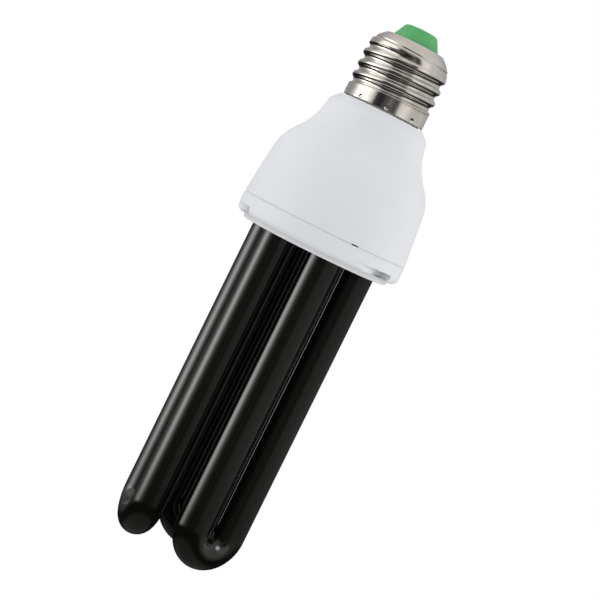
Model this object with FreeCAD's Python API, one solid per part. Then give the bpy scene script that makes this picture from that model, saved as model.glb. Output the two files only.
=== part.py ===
import FreeCAD, Part
import math
import os

# Three-U compact fluorescent black light lamp with an E27 screw base.
# Millimetres. The axis is Z, with the screw base up and the glass hanging down.
# The origin is on the axis at the lower edge of the screw shell's skirt.
# Azimuths are in degrees from -Y, the side that faces the viewer, towards +X.

Vector = FreeCAD.Vector
UP = Vector(0, 0, 1)

# Screw shell, drawn from thin nickel-plated sheet
SHELL_R = 13.1
SHELL_WALL = 0.35
SHELL_TOP = 22.3
MOUTH_INSET = 5.6
# Corners of the domed shoulder: inset from the crests, drop from the top, rounding
SHOULDER_CORNERS = ((0.0, 6.0, 0.0), (0.45, 4.7, 0.0), (0.7, 3.5, 0.0), (2.1, 1.6, 1.2), (3.9, 0.0, 0.8))
SKIRT_INSET = 0.2
SKIRT_H = 2.9
SKIRT_LAND_H = 1.6

# Rolled knuckle thread, seven turns to the inch, right-handed
PITCH = 3.629
THREAD_DEPTH = 1.1
FIRST_ROOT_Z = 6.09
THREAD_START = -150.0
THREAD_RISE = 12.9
RUN_IN_TURNS = 0.2
RUN_OUT_TURNS = 0.5
STATIONS_PER_TURN = 16
CREST_LAND = 0.12
THREAD_FLAT_SHARE = 0.4

# Punch marks that lock the skirt to the housing's neck
PUNCH_COUNT = 9
PUNCH_Z = 1.3
PUNCH_R = 0.8
PUNCH_DEPTH = 0.25
PUNCH_START = -37.0

# Insulator and centre contact at the tip
TIP_Z = 26.85
TIP_ROUND = 1.5
TIP_TAPER = 2.4
MOUTH_CLEAR = 0.1
INSULATOR_FLANGE = 1.6
CONTACT_RIM = 1.15
CONTACT_SEAT = 0.5
CONTACT_CROWN = 0.3
RIVET_R = 1.1
RIVET_END_Z = 18.6

# Bell-shaped upper housing, moulded in white plastic
HOUSING_WALL = 1.7
COLLAR_STEP = 0.4
COLLAR_FLARE = 2.45
COLLAR_H = 2.4
WAIST_FLARE = 1.21
WAIST_Z = -9.45
WAIST_ROUND = 20.0
BELLY_TAPER = 2.05
BELLY_Z = -18.7
BELLY_ROUND = 15.0
PARTING_Z = -38.4
PARTING_STEP = 0.1
PARTING_CHAMFER = 0.35
NECK_WALL = 1.4
NECK_TOP = 15.0
LEAD_SLOT = 1.4
LEAD_SLOT_H = 4.0
CLIP_COUNT = 3
CLIP_AZIMUTH = 22.5
CLIP_WIDTH = 2.9
CLIP_HEIGHT = 0.5
RIB_COUNT = 4
RIB_AZIMUTH = 0.0
RIB_THICK = 1.6
RIB_BITE = 1.0
RIB_H = 11.0
RIB_FOOT = 2.0

# Tube holder, the shallow cap that closes the housing and carries the glass
HOLDER_STEP = 2.9
HOLDER_H = 5.9
HOLDER_ROUND = 1.9
LIP_H = 3.5
LIP_WALL = 1.3
PLATE_MARGIN = 3.1
PLATE_PROUD = 1.3
PLATE_THICK = 2.0
NOTCH_COUNT = 3
NOTCH_SPAN = 36.0
NOTCH_H = 2.2
POCKET_SPAN = 13.0
POCKET_DEPTH = 2.0
FIRST_NOTCH_AZIMUTH = 45.0

# Sealed discharge tube, three U-shaped legs joined by two short bridges and set by hand a few
# degrees off their thirds of the circle, as in the photo
TUBE_R = 5.2
LEG_SPACING = 14.3
U_OFFSET = 13.5
U_AZIMUTHS = (42.5, 168.5, 286.5)
TUBE_BOTTOM_Z = -145.7
LEG_TOP_Z = -33.0
LEG_END_TAPER = 2.2
LEG_END_R = 3.0
BRIDGE_R = 2.8
BRIDGE_DROP = 3.4
PINCH_WIDTH = 6.4
PINCH_THICK = 2.4
PINCH_H = 4.0
CEMENT_MARGIN = 0.5
CEMENT_H = 4.0

# Circuit board and what stands on it: footprint centres are from the axis
BOARD_CLEAR = 0.6
BOARD_THICK = 1.6
BOARD_Z = -25.0
RESERVOIR_R = 5.0
RESERVOIR_H = 18.0
RESERVOIR_AT = (-5.0, -5.0)
CORE_SIZE = (13.4, 6.0, 11.4)
CORE_AT = (4.5, 6.6)
CORE_LIMB = 2.4
BOBBIN_FLANGE = 0.8
BOBBIN_DEPTH = 11.0
BOBBIN_CLEAR = 0.1
WINDING_INSET = 0.8
TRANSISTOR_SIZE = (8.0, 2.7, 11.0)
TRANSISTOR_STAND = 2.0
TRANSISTOR_LEG = (0.8, 0.5)
TRANSISTOR_LEG_PITCH = 2.3
TRANSISTOR_WALL_GAP = 4.4
TRANSISTOR_FRONT_X = 3.0
TRANSISTOR_RIGHT_Y = -5.6
FILM_SIZE = (4.0, 7.5, 7.0)
FILM_AT = (-14.0, 0.8)
CHOKE_R = 4.0
CHOKE_H = 9.0
CHOKE_FLANGE = 1.2
CHOKE_CORE_R = 1.8
CHOKE_WINDING_R = 3.3
CHOKE_AT = (-9.5, 8.6)
AXIAL_LEG = 0.8
DIODE_R = 1.3
DIODE_LENGTH = 5.2
DIODE_AT = (-9.5, -14.0)
RESISTOR_R = 1.2
RESISTOR_LENGTH = 6.3
RESISTOR_PLACES = ((15.6, -0.5), (18.8, -0.5))

# Wires inside
LEAD_R = 0.6
CONTACT_LEAD_AT = (3.0, -3.6)
CONTACT_LEAD_STRAIGHT = 4.0
CONTACT_LEAD_LEAN = 6.0
SHELL_LEAD_AZIMUTH = -108.0
SHELL_LEAD_INSET = 2.3
LEAD_BEND = 2.0
FILAMENT_WIRE_R = 0.3
FILAMENT_WIRE_GAP = 3.0

# Clearances
FIT = 0.05
LIP_FIT = 0.1
TUBE_HOLE_CLEAR = 0.3
CEMENT_FIT = 0.02
WIRE_FIT = 0.05

OVERCUT = 1.0

# Sizes that follow from the ones above
SKIRT_R = SHELL_R - SKIRT_INSET
SHELL_MOUTH_R = SHELL_R - MOUTH_INSET
TIP_FOOT_R = SHELL_MOUTH_R - MOUTH_CLEAR
TIP_R = TIP_FOOT_R - TIP_TAPER
CONTACT_R = TIP_R - CONTACT_RIM
SHELL_BORE_R = SHELL_R - THREAD_DEPTH - SHELL_WALL
NECK_R = SHELL_BORE_R - FIT
NECK_BORE_R = NECK_R - NECK_WALL
COLLAR_TOP_R = SHELL_R + COLLAR_STEP
COLLAR_R = COLLAR_TOP_R + COLLAR_FLARE
WAIST_R = COLLAR_R + WAIST_FLARE
LEG_ANGLE = math.degrees(math.atan2(LEG_SPACING / 2, U_OFFSET))
LEG_CIRCLE_R = math.hypot(LEG_SPACING / 2, U_OFFSET)
BEND_R = LEG_SPACING / 2
BEND_Z = TUBE_BOTTOM_Z + TUBE_R + BEND_R
PLATE_R = LEG_CIRCLE_R + TUBE_R + PLATE_MARGIN
CEMENT_R = LEG_CIRCLE_R + TUBE_R + CEMENT_MARGIN
HOLDER_R = PLATE_R + HOLDER_STEP
PARTING_R = HOLDER_R - PARTING_STEP
BELLY_R = PARTING_R - BELLY_TAPER
HOLDER_BOTTOM_Z = PARTING_Z - HOLDER_H
PLATE_BOTTOM_Z = HOLDER_BOTTOM_Z - PLATE_PROUD
PLATE_TOP_Z = PLATE_BOTTOM_Z + PLATE_THICK
BOARD_TOP_Z = BOARD_Z + BOARD_THICK


def at_azimuth(azimuth, radius, z=0.0):
    """Point at a radius from the axis, seen from -Y round towards +X."""
    a = math.radians(azimuth)
    return Vector(radius * math.sin(a), -radius * math.cos(a), z)


def turned(shape, azimuth):
    """Shape made on the -Y side, turned about the axis to an azimuth."""
    copy = shape.copy()
    copy.rotate(Vector(0, 0, 0), UP, azimuth)
    return copy


def rounded_outline(corners):
    """Closed wire in the XZ plane; each corner is (radius from axis, z, rounding)."""
    points = [Vector(c[0], 0, c[1]) for c in corners]
    starts = []
    ends = []
    middles = []
    for i, corner in enumerate(corners):
        point = points[i]
        back = (points[i - 1] - point).normalize()
        ahead = (points[(i + 1) % len(points)] - point).normalize()
        half = back.getAngle(ahead) / 2
        if len(corner) < 3 or corner[2] <= 0 or math.pi / 2 - half < 1e-6:
            starts.append(point)
            ends.append(point)
            middles.append(None)
            continue
        reach = corner[2] / math.tan(half)
        starts.append(point + back * reach)
        ends.append(point + ahead * reach)
        bisector = (back + ahead).normalize()
        middles.append(point + bisector * (corner[2] / math.sin(half) - corner[2]))
    edges = []
    for i in range(len(points)):
        if middles[i] is not None:
            edges.append(Part.Arc(starts[i], middles[i], ends[i]).toShape())
        follow = starts[(i + 1) % len(points)]
        if (follow - ends[i]).Length > 1e-6:
            edges.append(Part.LineSegment(ends[i], follow).toShape())
    return Part.Wire(edges)


def revolved(corners):
    """Solid of revolution about the axis from a rounded outline."""
    face = Part.Face(rounded_outline(corners))
    return face.revolve(Vector(0, 0, 0), UP, 360)


def inset_path(corners, distance):
    """Open path moved sideways by a wall thickness, with its roundings kept concentric."""
    points = [Vector(c[0], 0, c[1]) for c in corners]
    moved = []
    for i, corner in enumerate(corners):
        before = points[i] - points[i - 1] if i > 0 else points[1] - points[0]
        after = points[i + 1] - points[i] if i < len(points) - 1 else before
        normal_before = Vector(before.z, 0, -before.x).normalize()
        normal_after = Vector(after.z, 0, -after.x).normalize()
        normal = (normal_before + normal_after).normalize()
        place = points[i] + normal * (distance / normal.dot(normal_before))
        turn = before.cross(after).y
        rounding = corner[2] + (distance if turn < 0 else -distance)
        moved.append((place.x, place.z, max(rounding, 0.0)))
    return moved


def sector(inner, outer, low, high, azimuth, span):
    """Part of a ring between two heights, centred on an azimuth."""
    ring = revolved_sector(inner, outer, low, high, span)
    return turned(ring, azimuth)


def revolved_sector(inner, outer, low, high, span):
    """Part of a ring, half its span each side of -Y."""
    corners = ((inner, low), (outer, low), (outer, high), (inner, high))
    face = Part.Face(rounded_outline(corners))
    face.rotate(Vector(0, 0, 0), UP, -90 - span / 2)
    return face.revolve(Vector(0, 0, 0), UP, span)


def box_at(size, centre, low, turn=0.0):
    """Upright box centred on a point of the board."""
    block = Part.makeBox(size[0], size[1], size[2], Vector(-size[0] / 2, -size[1] / 2, 0))
    block.rotate(Vector(0, 0, 0), UP, turn)
    block.translate(Vector(centre[0], centre[1], low))
    return block


def post_at(radius, height, centre, low):
    """Upright cylinder on a point of the board."""
    return Part.makeCylinder(radius, height, Vector(centre[0], centre[1], low), UP)


def clean_solid(shape):
    """The one solid that a boolean leaves, without its compound."""
    return shape.removeSplitter().Solids[0]


def thread_section():
    """Half section of the thread groove, from its floor to the crest: axial offset and depth."""
    half_pitch = PITCH / 2
    arc = (half_pitch ** 2 + THREAD_DEPTH ** 2) / (4 * THREAD_DEPTH)
    turn = THREAD_FLAT_SHARE * math.asin(half_pitch / 2 / arc)
    side = arc * math.sin(turn)
    rise = arc * (1 - math.cos(turn))
    floor = (side, THREAD_DEPTH - rise)
    shoulder = (half_pitch - side, rise)
    edge = (half_pitch - CREST_LAND / 2, -CREST_LAND)
    return [floor, shoulder, edge]


def thread_fade(turns, total):
    """How far the groove has sunk to its full depth, from 0 to 1."""
    share = min(1.0, turns / RUN_IN_TURNS, (total - turns) / RUN_OUT_TURNS)
    share = max(share, 0.0)
    return share * share * (3 - 2 * share)


def thread_helix(offset, depth):
    """One line of the groove, which rises clear of the metal at both ends."""
    total = THREAD_RISE / PITCH
    steps = round(total * STATIONS_PER_TURN)
    outside = SHELL_R + CREST_LAND
    points = []
    for i in range(steps + 1):
        turns = total * i / steps
        sunk = depth + CREST_LAND
        fade = thread_fade(turns, total)
        radius = outside - fade * sunk + (1 - fade) * sunk / 10
        azimuth = THREAD_START + 360 * turns
        z = FIRST_ROOT_Z + PITCH * azimuth / 360 + offset
        points.append(at_azimuth(azimuth, radius, z))
    curve = Part.BSplineCurve()
    curve.interpolate(Points=points, Parameters=[float(i) for i in range(steps + 1)])
    return curve


def ruled_strip(one, other):
    """Surface drawn straight across between two helices with the same knots."""
    surface = Part.BSplineSurface()
    surface.buildFromPolesMultsKnots(
        [one.getPoles(), other.getPoles()], [2, 2], one.getMultiplicities(),
        [0, 1], one.getKnots(), False, False, 1, one.Degree)
    return surface.toShape()


def thread_groove():
    """Solid that the rolled thread takes out of the plain shell."""
    half = thread_section()
    section = [(-offset, depth) for offset, depth in reversed(half)] + half
    helices = [thread_helix(offset, depth) for offset, depth in section]
    faces = [ruled_strip(a, b) for a, b in zip(helices, helices[1:] + helices[:1])]
    for end in (0, -1):
        rim = [helix.getPoles()[end] for helix in helices]
        faces.append(Part.Face(Part.makePolygon(rim + rim[:1])))
    skin = Part.Compound(faces)
    skin.sewShape(1e-4)
    groove = Part.Solid(skin)
    if groove.Volume < 0:
        groove.reverse()
    return groove


def punch_mark():
    """Small tapered dent in the skirt, on the -Y side."""
    mouth = PUNCH_R + PUNCH_DEPTH
    floor_at = Vector(0, -(SKIRT_R - PUNCH_DEPTH), PUNCH_Z)
    return Part.makeCone(PUNCH_R / 2, mouth, 2 * PUNCH_DEPTH, floor_at, Vector(0, -1, 0))


def shoulder_path():
    """Outside of the shell's domed shoulder, from the thread up to its mouth."""
    path = [(SHELL_R - inset, SHELL_TOP - drop, rounding) for inset, drop, rounding in SHOULDER_CORNERS]
    return path + [(SHELL_MOUTH_R, SHELL_TOP, 0.0)]


def shell_bore_path():
    """Inside of the shell from its mouth down to the thread's bore, one wall behind the shoulder."""
    path = [corner[:2] for corner in inset_path(shoulder_path(), -SHELL_WALL)]
    kept = [corner for corner in path if corner[0] < SHELL_BORE_R]
    below = path[len(path) - len(kept) - 1]
    share = (below[0] - SHELL_BORE_R) / (below[0] - kept[0][0])
    crossing = below[1] + share * (kept[0][1] - below[1])
    return list(reversed(kept)) + [(SHELL_BORE_R, crossing)]


def screw_shell():
    """Threaded shell with a plain skirt, a domed shoulder and a mouth for the insulator."""
    skirt_bore = SKIRT_R - SHELL_WALL
    outline = [(SKIRT_R, 0.0)]
    outline += [(SKIRT_R, SKIRT_H)]
    outline += [(SHELL_R, SKIRT_H + SKIRT_INSET)]
    outline += shoulder_path()
    outline += shell_bore_path()
    outline += [(SHELL_BORE_R, SKIRT_LAND_H + skirt_bore - SHELL_BORE_R)]
    outline += [(skirt_bore, SKIRT_LAND_H)]
    outline += [(skirt_bore, 0.0)]
    shell = revolved(outline).cut(thread_groove())
    marks = [turned(punch_mark(), PUNCH_START + 360 * i / PUNCH_COUNT) for i in range(PUNCH_COUNT)]
    return clean_solid(shell.cut(Part.Compound(marks)))


def contact_insulator():
    """Green moulding that fills the shell's mouth, rests under its shoulder and carries the contact."""
    under = [(x - FIT, z - FIT) for x, z in shell_bore_path()[1:3]]
    foot_z = under[-1][1] - INSULATOR_FLANGE
    return revolved([
        (RIVET_R + FIT, foot_z),
        (RIVET_R + FIT, TIP_Z - CONTACT_SEAT),
        (CONTACT_R + FIT, TIP_Z - CONTACT_SEAT),
        (CONTACT_R + FIT, TIP_Z),
        (TIP_R, TIP_Z, TIP_ROUND),
        (TIP_FOOT_R, SHELL_TOP),
        (TIP_FOOT_R, SHELL_TOP - SHELL_WALL - FIT)]
        + under
        + [(under[-1][0], foot_z)])


def centre_contact():
    """Nickel rivet: a low domed head in the insulator's dish and a shank through it."""
    seat = TIP_Z - CONTACT_SEAT
    rim = Vector(CONTACT_R, 0, TIP_Z)
    crown = Vector(0, 0, TIP_Z + CONTACT_CROWN)
    dome_r = (CONTACT_R ** 2 + CONTACT_CROWN ** 2) / (2 * CONTACT_CROWN)
    half = math.asin(CONTACT_R / dome_r) / 2
    between = Vector(dome_r * math.sin(half), 0, crown.z - dome_r * (1 - math.cos(half)))
    corners = [crown, Vector(0, 0, RIVET_END_Z), Vector(RIVET_R, 0, RIVET_END_Z),
               Vector(RIVET_R, 0, seat), Vector(CONTACT_R, 0, seat), rim]
    edges = [Part.LineSegment(a, b).toShape() for a, b in zip(corners, corners[1:])]
    edges.append(Part.Arc(rim, between, crown).toShape())
    return Part.Face(Part.Wire(edges)).revolve(Vector(0, 0, 0), UP, 360)


def bell_path():
    """Outside of the bell from the collar down to the parting line."""
    return [
        (NECK_BORE_R, 0.0, 0.0),
        (COLLAR_TOP_R, 0.0, 0.0),
        (COLLAR_R, -COLLAR_H, 0.0),
        (WAIST_R, WAIST_Z, WAIST_ROUND),
        (BELLY_R, BELLY_Z, BELLY_ROUND),
        (PARTING_R, PARTING_Z, 0.0)]


def housing_bore_r(z):
    """Radius of the bell's inner wall in its straight lower part."""
    low, high = inset_path(bell_path(), HOUSING_WALL)[-1], inset_path(bell_path(), HOUSING_WALL)[-2]
    return low[0] + (high[0] - low[0]) * (z - low[1]) / (high[1] - low[1])


def board_r():
    """Radius of the round board, clear of the bell's inner wall."""
    return housing_bore_r(BOARD_Z) - BOARD_CLEAR


def board_rib():
    """Rib inside the bell, slotted for the edge of the circuit board, on the -Y side."""
    inner = board_r() - RIB_BITE
    low = BOARD_Z - RIB_FOOT
    rib = Part.makeBox(RIB_THICK, BELLY_R, RIB_H, Vector(-RIB_THICK / 2, -inner - BELLY_R, low))
    slot = Part.makeCylinder(board_r() + FIT, BOARD_THICK + 2 * FIT, Vector(0, 0, BOARD_Z - FIT), UP)
    return rib.cut(slot)


def upper_housing():
    """Bell with the neck that the screw shell is pushed over and punched into."""
    outside = bell_path()
    inside = inset_path(outside, HOUSING_WALL)
    skirt_land = SKIRT_R - SHELL_WALL - FIT
    wall = outside[1:-1]
    wall += [(outer_r(PARTING_Z + PARTING_CHAMFER), PARTING_Z + PARTING_CHAMFER)]
    wall += [(PARTING_R - PARTING_CHAMFER, PARTING_Z)]
    wall += [(housing_bore_r(PARTING_Z), PARTING_Z)]
    cavity = [corner[:2] for corner in reversed(inside[:-1])]
    neck = [(NECK_BORE_R, NECK_TOP)]
    neck += [(NECK_R, NECK_TOP)]
    neck += [(NECK_R, SKIRT_LAND_H + skirt_land - NECK_R)]
    neck += [(skirt_land, SKIRT_LAND_H - FIT)]
    neck += [(skirt_land, 0.0)]
    bell = revolved(wall + cavity + neck)
    solid_bell = revolved([(0.0, 0.0)] + outside[1:] + [(0.0, PARTING_Z)])
    ribs = []
    for i in range(RIB_COUNT):
        ribs.append(turned(board_rib(), RIB_AZIMUTH + 360 * i / RIB_COUNT))
    inside_ribs = [rib.common(solid_bell) for rib in ribs]
    bell = bell.fuse(inside_ribs)
    cuts = [lead_slot()]
    for i in range(CLIP_COUNT):
        cuts.append(turned(clip_window(), CLIP_AZIMUTH + 360 * i / CLIP_COUNT))
    return clean_solid(bell.cut(Part.Compound(cuts)))


def outer_r(z):
    """Radius of the bell's outer wall in its straight lower part."""
    share = (z - PARTING_Z) / (BELLY_Z - PARTING_Z)
    return PARTING_R + share * (BELLY_R - PARTING_R)


def clip_window():
    """Small slot in the parting line where the holder's clip is released, on the -Y side."""
    depth = HOUSING_WALL + 2 * OVERCUT
    corner = Vector(-CLIP_WIDTH / 2, -PARTING_R - OVERCUT, PARTING_Z)
    return Part.makeBox(CLIP_WIDTH, depth, CLIP_HEIGHT, corner)


def lead_slot():
    """Slot in the neck's rim that the bare lead is folded through."""
    corner = Vector(-LEAD_SLOT / 2, -NECK_R - OVERCUT, NECK_TOP - LEAD_SLOT_H)
    slot = Part.makeBox(LEAD_SLOT, NECK_WALL + 2 * OVERCUT, LEAD_SLOT_H + OVERCUT, corner)
    return turned(slot, SHELL_LEAD_AZIMUTH)


def leg_azimuths():
    """Azimuths of the two legs of each U, in order round the lamp."""
    return [(middle - LEG_ANGLE, middle + LEG_ANGLE) for middle in U_AZIMUTHS]


def leg_places():
    """Centres of all six legs."""
    return [at_azimuth(azimuth, LEG_CIRCLE_R) for pair in leg_azimuths() for azimuth in pair]


def tube_holder():
    """Ring and plate with six tube holes, a locating lip and three rim notches."""
    lip_top = PARTING_Z + LIP_H
    lip_top_r = housing_bore_r(lip_top) - LIP_FIT
    lip_foot_r = housing_bore_r(PARTING_Z) - LIP_FIT
    bore = lip_top_r - LIP_WALL
    body = revolved((
        (0.0, PLATE_BOTTOM_Z),
        (PLATE_R, PLATE_BOTTOM_Z, 0.0),
        (PLATE_R, HOLDER_BOTTOM_Z, 0.0),
        (HOLDER_R, HOLDER_BOTTOM_Z, HOLDER_ROUND),
        (HOLDER_R, PARTING_Z - PARTING_CHAMFER, 0.0),
        (HOLDER_R - PARTING_CHAMFER, PARTING_Z, 0.0),
        (lip_foot_r, PARTING_Z, 0.0),
        (lip_top_r, lip_top, 0.0),
        (bore, lip_top, 0.0),
        (bore, PLATE_TOP_Z, 0.0),
        (0.0, PLATE_TOP_Z)))
    cuts = []
    for place in leg_places():
        hole = Part.makeCylinder(TUBE_R + TUBE_HOLE_CLEAR, PLATE_THICK + 2 * OVERCUT, place, UP)
        hole.translate(Vector(0, 0, PLATE_BOTTOM_Z - OVERCUT))
        cuts.append(hole)
    notch_top = HOLDER_BOTTOM_Z + NOTCH_H
    for i in range(NOTCH_COUNT):
        middle = FIRST_NOTCH_AZIMUTH + 360 * i / NOTCH_COUNT
        end = middle + NOTCH_SPAN / 2 - POCKET_SPAN / 2
        low = PLATE_BOTTOM_Z - OVERCUT
        outer = HOLDER_R + OVERCUT
        cuts.append(sector(PLATE_R, outer, low, notch_top, middle, NOTCH_SPAN))
        cuts.append(sector(PLATE_R - POCKET_DEPTH, outer, low, notch_top, end, POCKET_SPAN))
    return clean_solid(body.cut(cuts))


def u_tube(azimuth):
    """One bent tube: two legs and a half-circle bend, open side up."""
    left = Vector(-BEND_R, -U_OFFSET, LEG_TOP_Z - LEG_END_TAPER)
    right = Vector(BEND_R, -U_OFFSET, LEG_TOP_Z - LEG_END_TAPER)
    low_left = Vector(-BEND_R, -U_OFFSET, BEND_Z)
    low_right = Vector(BEND_R, -U_OFFSET, BEND_Z)
    bottom = Vector(0, -U_OFFSET, BEND_Z - BEND_R)
    path = Part.Wire([
        Part.LineSegment(left, low_left).toShape(),
        Part.Arc(low_left, bottom, low_right).toShape(),
        Part.LineSegment(low_right, right).toShape()])
    section = Part.Wire(Part.makeCircle(TUBE_R, left, UP))
    bend = path.makePipeShell([section], True, True)
    ends = [Part.makeCone(TUBE_R, LEG_END_R, LEG_END_TAPER, top, UP) for top in (left, right)]
    return turned(bend.fuse(ends), azimuth)


def bridge(from_azimuth, to_azimuth):
    """Short cross tube between two neighbouring legs."""
    z = LEG_TOP_Z - BRIDGE_DROP
    start = at_azimuth(from_azimuth, LEG_CIRCLE_R, z)
    end = at_azimuth(to_azimuth, LEG_CIRCLE_R, z)
    return Part.makeCylinder(BRIDGE_R, (end - start).Length, start, end - start)


def pinch(azimuth):
    """Flattened seal at an electrode leg, with its long side along the circle of legs."""
    block = Part.makeBox(PINCH_WIDTH, PINCH_THICK, PINCH_H + LEG_END_TAPER / 2)
    block.translate(Vector(-PINCH_WIDTH / 2, -PINCH_THICK / 2 - LEG_CIRCLE_R, LEG_TOP_Z - LEG_END_TAPER / 2))
    return turned(block, azimuth)


def electrode_azimuths():
    """The first leg of the last U and of the first U are where the discharge starts and ends."""
    pairs = leg_azimuths()
    return (pairs[-1][1], pairs[0][0])


def discharge_tube():
    """The sealed black glass as one piece: three Us, two bridges and two pinched ends."""
    pairs = leg_azimuths()
    pieces = [u_tube(azimuth) for azimuth in U_AZIMUTHS]
    pieces += [bridge(a[1], b[0]) for a, b in zip(pairs, pairs[1:])]
    pieces += [pinch(azimuth) for azimuth in electrode_azimuths()]
    return clean_solid(pieces[0].fuse(pieces[1:]))


def tube_cement():
    """Cement that bonds the six legs to the holder's plate."""
    body = Part.makeCylinder(CEMENT_R, CEMENT_H, Vector(0, 0, PLATE_TOP_Z), UP)
    holes = []
    for place in leg_places():
        hole = Part.makeCylinder(TUBE_R + CEMENT_FIT, CEMENT_H + 2 * OVERCUT, place, UP)
        hole.translate(Vector(0, 0, PLATE_TOP_Z - OVERCUT))
        holes.append(hole)
    return clean_solid(body.cut(holes))


def circuit_board():
    """Round single-sided board."""
    return Part.makeCylinder(board_r(), BOARD_THICK, Vector(0, 0, BOARD_Z), UP)


def transformer():
    """Ferrite core pair, its bobbin and the winding, as three pieces."""
    width, depth, height = CORE_SIZE
    clear = BOBBIN_CLEAR
    window_w = (width - 3 * CORE_LIMB) / 2
    window_h = height - 2 * CORE_LIMB
    low = BOARD_TOP_Z
    core = box_at(CORE_SIZE, CORE_AT, low)
    for side in (-1, 1):
        centre = (CORE_AT[0] + side * (CORE_LIMB + window_w) / 2, CORE_AT[1])
        core = core.cut(box_at((window_w, depth + 2 * OVERCUT, window_h), centre, low + CORE_LIMB))
    tube_w = CORE_LIMB + 2 * clear
    bobbin_w = width - 2 * CORE_LIMB - 2 * clear
    bobbin_h = window_h - 2 * clear
    wall = BOBBIN_FLANGE
    bobbin_low = low + CORE_LIMB + clear
    flange = (bobbin_w, BOBBIN_DEPTH, wall)
    barrel = (tube_w + 2 * wall, depth + 2 * clear + 2 * wall, bobbin_h)
    bobbin = box_at(flange, CORE_AT, bobbin_low)
    bobbin = bobbin.fuse(box_at(flange, CORE_AT, bobbin_low + bobbin_h - wall))
    bobbin = bobbin.fuse(box_at(barrel, CORE_AT, bobbin_low))
    bobbin = bobbin.cut(box_at((tube_w, depth + 2 * clear, height), CORE_AT, low))
    coil_h = bobbin_h - 2 * wall
    coil_low = bobbin_low + wall
    coil = box_at((bobbin_w, BOBBIN_DEPTH - 2 * WINDING_INSET, coil_h), CORE_AT, coil_low)
    coil = coil.cut(box_at((barrel[0], barrel[1], coil_h + 2 * OVERCUT), CORE_AT, coil_low - OVERCUT))
    return core.removeSplitter(), clean_solid(bobbin), coil


def transistor(centre, turn):
    """Flat power transistor standing on its three legs."""
    body = box_at(TRANSISTOR_SIZE, centre, BOARD_TOP_Z + TRANSISTOR_STAND, turn)
    for i in (-1, 0, 1):
        across = FreeCAD.Rotation(UP, turn).multVec(Vector(i * TRANSISTOR_LEG_PITCH, 0, 0))
        place = (centre[0] + across.x, centre[1] + across.y)
        body = body.fuse(box_at(TRANSISTOR_LEG + (TRANSISTOR_STAND,), place, BOARD_TOP_Z, turn))
    return clean_solid(body)


def choke():
    """Drum core and the winding round its waist, as two pieces."""
    core = post_at(CHOKE_R, CHOKE_H, CHOKE_AT, BOARD_TOP_Z)
    waist_h = CHOKE_H - 2 * CHOKE_FLANGE
    waist_low = BOARD_TOP_Z + CHOKE_FLANGE
    ring = post_at(CHOKE_R + OVERCUT, waist_h, CHOKE_AT, waist_low)
    core = core.cut(ring.cut(post_at(CHOKE_CORE_R, waist_h, CHOKE_AT, waist_low)))
    winding = post_at(CHOKE_WINDING_R, waist_h, CHOKE_AT, waist_low)
    winding = winding.cut(post_at(CHOKE_CORE_R, waist_h, CHOKE_AT, waist_low))
    return core, winding


def axial_part(radius, length, centre):
    """Small lying cylinder on two bent legs, lengthwise along Y."""
    z = BOARD_TOP_Z + radius + AXIAL_LEG
    body = Part.makeCylinder(radius, length, Vector(centre[0], centre[1] - length / 2, z), Vector(0, 1, 0))
    reach = length / 2 + AXIAL_LEG
    for side in (-1, 1):
        foot = (centre[0], centre[1] + side * reach)
        leg = box_at((AXIAL_LEG, AXIAL_LEG, z - BOARD_TOP_Z + AXIAL_LEG / 2), foot, BOARD_TOP_Z)
        arm_at = (centre[0], centre[1] + side * (length / 2 + AXIAL_LEG / 2))
        arm = box_at((AXIAL_LEG, AXIAL_LEG * 1.5, AXIAL_LEG), arm_at, z - AXIAL_LEG / 2)
        body = body.fuse([leg, arm])
    return clean_solid(body)


def swept_wire(points, radius):
    """Round wire along straight runs joined by bends of one radius."""
    edges = []
    start = points[0]
    for before, corner, after in zip(points, points[1:], points[2:]):
        back = (before - corner).normalize()
        ahead = (after - corner).normalize()
        half = back.getAngle(ahead) / 2
        reach = LEAD_BEND / math.tan(half)
        middle = corner + (back + ahead).normalize() * (LEAD_BEND / math.sin(half) - LEAD_BEND)
        edges.append(Part.LineSegment(start, corner + back * reach).toShape())
        edges.append(Part.Arc(corner + back * reach, middle, corner + ahead * reach).toShape())
        start = corner + ahead * reach
    edges.append(Part.LineSegment(start, points[-1]).toShape())
    section = Part.Wire(Part.makeCircle(radius, points[0], points[1] - points[0]))
    return Part.Wire(edges).makePipeShell([section], True, True)


def contact_lead():
    """Insulated lead from the board up the neck to the rivet's shank."""
    x, y = CONTACT_LEAD_AT
    top = RIVET_END_Z
    points = (
        Vector(x, y, BOARD_TOP_Z),
        Vector(x, y, top - CONTACT_LEAD_STRAIGHT - CONTACT_LEAD_LEAN),
        Vector(0, 0, top - CONTACT_LEAD_STRAIGHT),
        Vector(0, 0, top))
    return swept_wire(points, LEAD_R)


def shell_lead():
    """Lead from the board up the neck, folded out through its slot to touch the shell."""
    bend_z = NECK_TOP - LEAD_SLOT_H + LEAD_R + WIRE_FIT
    inner_r = NECK_BORE_R - SHELL_LEAD_INSET
    points = (
        at_azimuth(SHELL_LEAD_AZIMUTH, inner_r, BOARD_TOP_Z),
        at_azimuth(SHELL_LEAD_AZIMUTH, inner_r, bend_z),
        at_azimuth(SHELL_LEAD_AZIMUTH, SHELL_BORE_R - WIRE_FIT, bend_z))
    return swept_wire(points, LEAD_R)


def filament_wires():
    """Two fine wires from each pinched end up to the board."""
    wires = []
    low = LEG_TOP_Z + PINCH_H
    for azimuth in electrode_azimuths():
        for side in (-1, 1):
            place = Vector(side * FILAMENT_WIRE_GAP / 2, -LEG_CIRCLE_R, low)
            wires.append(turned(Part.makeCylinder(FILAMENT_WIRE_R, BOARD_Z - low, place, UP), azimuth))
    return Part.Compound(wires)


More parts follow.
